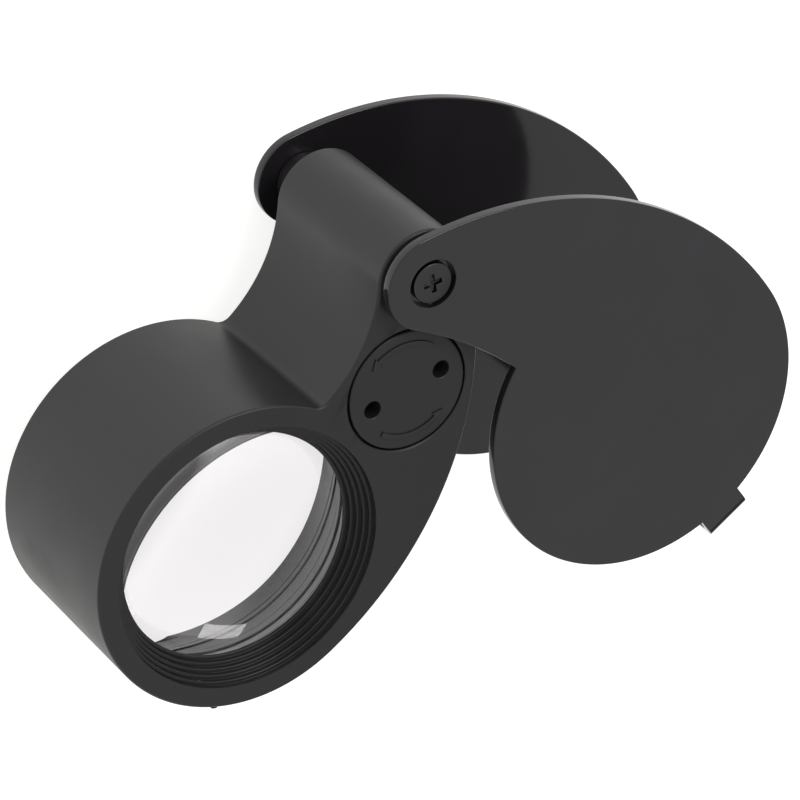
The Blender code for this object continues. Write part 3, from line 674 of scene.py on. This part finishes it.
def bore_profile():
    """Stepped baffle rings down to the lip, each with a fine groove in its inner corner."""
    lip_top = BODY_FRONT - BAFFLE_DEPTH
    lip_bottom = lip_top - LIP_THICKNESS
    tread = (BAFFLE_RADIUS - LIP_RADIUS) / BAFFLE_STEPS
    rise = (BODY_FRONT - lip_top) / BAFFLE_STEPS
    profile = [(0, OVER), (BAFFLE_RADIUS, OVER)]
    for step in range(BAFFLE_STEPS):
        radius = BAFFLE_RADIUS - step * tread
        height = BODY_FRONT - (step + 1) * rise
        profile += [(radius, height + 0.06), (radius + GROOVE, height),
                    (radius + 0.02, height - 0.06), (radius - 0.06, height),
                    (radius - tread + 0.05, height), (radius - tread, height - 0.05)]
    profile += [(LIP_RADIUS, lip_bottom), (BORE_RADIUS, lip_bottom), (BORE_RADIUS, UNDER),
                (0, UNDER)]
    return profile


def build_housing():
    """The moulding, with the gate's mark on the barrel's rim and the bores that show."""
    body = slab("lens_housing", housing_outline(), BODY_BACK, BODY_FRONT, HOUSING_RIM, 5)
    gate = box("gate_mark", (0.7, 0.7, 0.5), (0, 0, 0), GATE_TURN, 0.2)
    x, y = polar(BARREL_RADIUS - 0.1, GATE_TURN)
    moved(gate, (LENS_REACH + x, y, BODY_FRONT - 0.45))
    body = carve(body, gate, operation='UNION')
    x, y = CAP_LOCAL
    floor = BODY_FRONT - SEAT_DEPTH
    seat = [(0, OVER), (6.8, OVER), (6.37, BODY_FRONT), (SEAT_RADIUS, BODY_FRONT - 0.12),
            (SEAT_RADIUS, floor), (0, floor)]
    cuts = [
        cylinder("pivot_bore", PIVOT_BORE, UNDER, OVER, steps=48),
        turned("lens_bore", bore_profile(), LENS_REACH, 0, 220),
        turned("cap_seat", seat, x, y, 96),
        cylinder("cap_hole", *CAP_HOLE, OVER, x, y, 64),
        cylinder("lug_groove", *LUG_GROOVE, x, y, 64),
        cylinder("spring_hole", SPRING_HOLE, UNDER, OVER, x, y, 24),
        slab("pocket", POCKET, UNDER, POCKET_TOP),
        slab("recess", BEZEL_RECESS, UNDER, BODY_BACK + BEZEL_DEPTH),
    ]
    body = carve(body, *cuts)
    piece("housing_moulding", body, "lens_unit", PLASTIC, ["lens_housing"],
          UNIT_FRAME)


def lens_face(rim_height, curve, bulge, steps=24):
    """A spherical lens face from its rim to the axis; bulge is +1 up or -1 down."""
    drop = math.sqrt(curve ** 2 - LENS_RADIUS ** 2)
    points = []
    for index in range(steps + 1):
        reach = LENS_RADIUS * (1 - index / steps)
        points.append((reach, rim_height + bulge * (math.sqrt(curve ** 2 - reach ** 2) - drop)))
    return points


def build_lenses():
    """The doublet as one clear body; its cemented joint is a dark line on the ground sides."""
    profile = list(reversed(lens_face(*LENS_TOP, 1))) + lens_face(*LENS_BOTTOM, -1)
    mesh = turned("lens_doublet", profile, LENS_REACH, 0, LENS_STEPS)
    piece("lens_doublet", mesh, "lens_unit", GLASS, ["front_lens", "rear_lens"],
          UNIT_FRAME)
    mesh.materials.append(EDGE)
    for face in mesh.polygons:
        if abs(face.normal.z) < SIDE_SLOPE:
            face.material_index = 1


def build_rings():
    """The ring under the doublet and the threaded ring with its spanner slots."""
    low, high = heights("lens_spacer")
    middle_height = (low + high) / 2
    profile = [(RING_OUTER, high), (RING_OUTER, low), (SPACER_INNER, low),
               (SPACER_INNER, middle_height - 0.08), (SPACER_INNER + 0.12, middle_height - 0.06),
               (SPACER_INNER + 0.12, middle_height + 0.06), (SPACER_INNER, middle_height + 0.08),
               (SPACER_INNER, high)]
    spacer = turned("spacer", profile, LENS_REACH, 0, LENS_STEPS, ring=True)
    piece("lens_spacer_fine", spacer, "lens_unit", ANODISED, ["lens_spacer"],
          UNIT_FRAME)

    low, high = heights("lens_retainer")
    profile = [(RING_OUTER, high), (RING_OUTER, low), (RETAINER_INNER + 0.25, low),
               (RETAINER_INNER, low + 0.25), (RETAINER_INNER, high - 0.9),
               (RETAINER_INNER + 0.12, high - 0.86), (RETAINER_INNER + 0.12, high - 0.78),
               (RETAINER_INNER, high - 0.74), (RETAINER_INNER, high - 0.1),
               (RETAINER_INNER + 0.1, high)]
    ring = turned("retainer", profile, LENS_REACH, 0, LENS_STEPS, ring=True)
    ring = carve(ring, box("slots", SLOT_BAR, (LENS_REACH, 0, low), 45, 0.1))
    piece("lens_retainer_fine", ring, "lens_unit", RING_BLACK,
          ["lens_retainer"], UNIT_FRAME)


def inset(outline, gap):
    """A convex outline with each side moved in by gap."""
    count = len(outline)
    moved_in = []
    for index, corner in enumerate(outline):
        here = Vector(corner)
        entering = (here - Vector(outline[index - 1])).normalized()
        leaving = (Vector(outline[(index + 1) % count]) - here).normalized()
        inward = Vector((-entering.y - leaving.y, entering.x + leaving.x)).normalized()
        point = here + inward * (gap / inward.dot(Vector((-entering.y, entering.x))))
        moved_in.append((point.x, point.y))
    return moved_in


def build_light_bezel():
    """The cover of the electronics' pocket, with the lamps' holes and the switch's slot."""
    low, high = heights("light_bezel")
    plate = slab("light_bezel", inset(BEZEL_RECESS, 0.1), low, high, 0.12, 3)
    tools = []
    for led_y in LED_Y:
        hole = [(0, low - 1), (2.3, low - 1), (LED_HOLE + 0.15, low + 0.15),
                (LED_HOLE, low + 0.3), (LED_HOLE, high + 1), (0, high + 1)]
        tools.append(turned("led_hole", list(reversed(hole)), LED_X, led_y, 64))
    knob_x, knob_y = KNOB
    tools.append(box("knob_slot", KNOB_SLOT, (knob_x, knob_y + 1.0, low), 0, 0.15))
    plate = carve(plate, *tools)
    piece("light_bezel_fine", plate, "lens_unit", PLASTIC, ["light_bezel"],
          UNIT_FRAME)


def build_lamps():
    """Each lamp: a clear dome on a flange with a flat side, round a cup with a yellow chip."""
    for index, led_y in enumerate(LED_Y):
        name = "led_%d" % (index + 1)
        low, high = heights(name)
        dome = []
        for step in range(13):
            angle = step * math.pi / 24
            dome.append((LED_RADIUS * math.cos(angle), low + LED_RADIUS * (1 - math.sin(angle))))
        dome[-1] = (0, low)
        profile = [(0, high), (LED_FLANGE - 0.1, high), (LED_FLANGE, high - 0.1),
                   (LED_FLANGE, high - 0.5), (LED_FLANGE - 0.1, high - 0.6),
                   (LED_RADIUS, high - 0.6)] + dome
        body = turned(name, profile, LED_X, led_y, 64)
        flat = box("flat", (4, 0.5, 0.8), (LED_X, led_y - LED_FLANGE, high - 0.3))
        body = carve(body, flat)
        piece(name + "_dome", body, "lens_unit", EPOXY, [name], UNIT_FRAME)
        cup = [(0.30, high - 0.4), (0.30, high - 1.2), (0.75, high - 1.9), (0.62, high - 1.9),
               (0.32, high - 1.45), (0, high - 1.45), (0, high - 0.4)]
        cup_mesh = turned(name + "_cup", list(reversed(cup)), LED_X, led_y, 40)
        piece(name + "_cup", cup_mesh, "lens_unit", TIN, (), UNIT_FRAME)
        chip = [(0, high - 1.47), (0.34, high - 1.47), (0.52, high - 1.78), (0, high - 1.84)]
        chip_mesh = turned(name + "_chip", chip, LED_X, led_y, 40)
        piece(name + "_chip", chip_mesh, "lens_unit", PHOSPHOR, (), UNIT_FRAME)


def build_knob():
    """The switch's knob: a foot inside, and a stem with grip ridges across its outer end."""
    low, high = heights("light_switch_knob")
    x, y = KNOB
    foot_middle = high - 0.35
    foot = box("knob", KNOB_FOOT, (x, y, foot_middle), 0, 0.08)
    stem_size = (*KNOB_STEM, foot_middle - low - 0.2)
    stem = box("stem", stem_size, (x, y, (foot_middle + low + 0.2) / 2), 0, 0.12)
    knob = carve(foot, stem, operation='UNION')
    ridges = []
    for index in range(KNOB_RIDGES):
        across = y + (index - (KNOB_RIDGES - 1) / 2) * RIDGE_PITCH
        ridges.append(box("ridge", RIDGE_SIZE, (x, across, low + 0.3), 0, 0.09))
    knob = carve(knob, *ridges, operation='UNION')
    piece("light_switch_knob_fine", knob, "light_switch", KNOB_PLASTIC,
          ["light_switch_knob"], UNIT_FRAME)


def build_cap():
    """The cap with its two spanner holes and a raised arc with an arrowhead beside each."""
    top = BODY_FRONT
    flange = top - CAP_FLANGE
    rim = [(0, top), (CAP_RADIUS, top), (CAP_RADIUS, flange), (CAP_NECK, flange),
           (CAP_NECK, CAP_BOTTOM), (0, CAP_BOTTOM)]
    cap = turned("battery_cap", softened(rim, 0.22), steps=128)
    tools = []
    for side in (-1, 1):
        x, y = polar(side * SPANNER_REACH, SPANNER_ANGLE)
        floor = top - SPANNER_DEPTH
        hole = [(0, top + 1), (0.95, top + 1), (0.95, top), (0.87, top - 0.08),
                (0.87, floor), (0, floor)]
        tools.append(turned("spanner_hole", hole, x, y, 32))
    cap = carve(cap, *tools)
    bottom = top - MARK_HEIGHT
    inner, outer = MARK_RADII
    for turn in (SPANNER_ANGLE, SPANNER_ANGLE + 180):
        tail = turn + MARK_TURNS[0]
        neck = turn + MARK_TURNS[1]
        tip = turn + ARROW_TIP_TURN
        band = arc((0, 0), outer, tail, neck, 20) + arc((0, 0), inner, neck, tail, 20)
        head = [polar(radius, angle) for radius, angle in zip(ARROW_RADII, (neck, tip, neck))]
        cap = carve(cap, slab("arc_mark", band, bottom, top + MARK_HEIGHT, 0.03, 1),
                    slab("arrow_mark", head, bottom, top + MARK_HEIGHT, 0.03, 1), operation='UNION')
    piece("battery_cap_fine", cap, "battery_cap", CAP_PLASTIC, ["battery_cap"],
          CAP_FRAME)


def finish_cad_nodes():
    """Materials for the CAD nodes that show as they are."""
    for name, material in CAD_FINISHES.items():
        mesh = frame["nodes"][name].data
        mesh.materials.clear()
        mesh.materials.append(material)


# Floor, light and camera ----------------------------------------------------------------------

# Lengths from here on are in metres. The far side is a range of the sky's own Y, from 0 to 1.
FLOOR_RADIUS = 4.0
FLOOR_GAP = 0.00002
FLOOR_GLOW = 0.82
TENT_STRENGTH = 0.92
FAR_SIDE_STRENGTH = 0.12
FAR_SIDE = (0.78, 0.86)
LIGHT_PLACE = (-0.49, -0.16, 0.55)
LIGHT_SIZE = (0.34, 0.2)
LIGHT_POWER = 2.0
CAMERA_AIM = (0.01228, -0.01479, 0.0123)
CAMERA_DISTANCE = 0.44686
CAMERA_AZIMUTH = 8.136
CAMERA_ELEVATION = 48.23
CAMERA_ROLL = 130.25
FOCAL_LENGTH = 212.8
SENSOR_WIDTH = 36.0


def build_floor():
    """A pale floor, partly self-lit so that it stays as bright as the light tent over it."""
    bm = bmesh.new()
    bmesh.ops.create_circle(bm, cap_ends=True, segments=96, radius=FLOOR_RADIUS)
    floor = link(bpy.data.objects.new("floor", mesh_from(bm, "floor")))
    floor.location.z = -FLOOR_GAP
    material, _, shader = principled("floor_pale", (0.45, 0.45, 0.442), 0.9,
                                     Specular_IOR_Level=0.0, Emission_Strength=FLOOR_GLOW)
    shader.inputs["Emission Color"].default_value = (1.0, 1.0, 0.985, 1)
    floor.data.materials.append(material)


def build_light():
    """A white tent that is dim low down on the far side, and one soft light high up on the left."""
    world = bpy.data.worlds.new("light_tent")
    bpy.context.scene.world = world
    world.use_nodes = True
    tree = world.node_tree
    background = tree.nodes["Background"]
    background.inputs["Color"].default_value = (1.0, 1.0, 1.0, 1)
    coordinates = tree.nodes.new("ShaderNodeTexCoord")
    split = tree.nodes.new("ShaderNodeSeparateXYZ")
    tree.links.new(coordinates.outputs["Generated"], split.inputs["Vector"])
    strength = ranged(tree, split.outputs["Y"], TENT_STRENGTH, FAR_SIDE_STRENGTH, *FAR_SIDE)
    tree.links.new(strength, background.inputs["Strength"])
    data = bpy.data.lights.new("overhead", 'AREA')
    data.shape = 'RECTANGLE'
    data.size, data.size_y = LIGHT_SIZE
    data.energy = LIGHT_POWER
    light = link(bpy.data.objects.new("overhead", data))
    light.location = LIGHT_PLACE
    light.rotation_euler = (-Vector(LIGHT_PLACE)).to_track_quat('-Z', 'Y').to_euler()
    bpy.context.scene.view_settings.view_transform = 'Standard'


def build_camera():
    """The camera stands off to the side at its distance from the aim point, rolled over."""
    azimuth = math.radians(CAMERA_AZIMUTH)
    elevation = math.radians(CAMERA_ELEVATION)
    forward = Vector((math.sin(azimuth) * math.cos(elevation),
                      math.cos(azimuth) * math.cos(elevation), -math.sin(elevation)))
    data = bpy.data.cameras.new("camera")
    data.sensor_width = SENSOR_WIDTH
    data.lens = FOCAL_LENGTH
    data.clip_start = 0.01
    camera = link(bpy.data.objects.new("camera", data))
    stand = Matrix.Translation(Vector(CAMERA_AIM) - forward * CAMERA_DISTANCE)
    upright = forward.to_track_quat('-Z', 'Y').to_matrix().to_4x4()
    camera.matrix_world = stand @ upright @ Matrix.Rotation(math.radians(CAMERA_ROLL), 4, 'Z')
    bpy.context.scene.camera = camera


build_cover()
build_screws()
build_housing()
build_lenses()
build_rings()
build_light_bezel()
build_lamps()
build_knob()
build_cap()
finish_cad_nodes()
build_floor()
build_light()
build_camera()
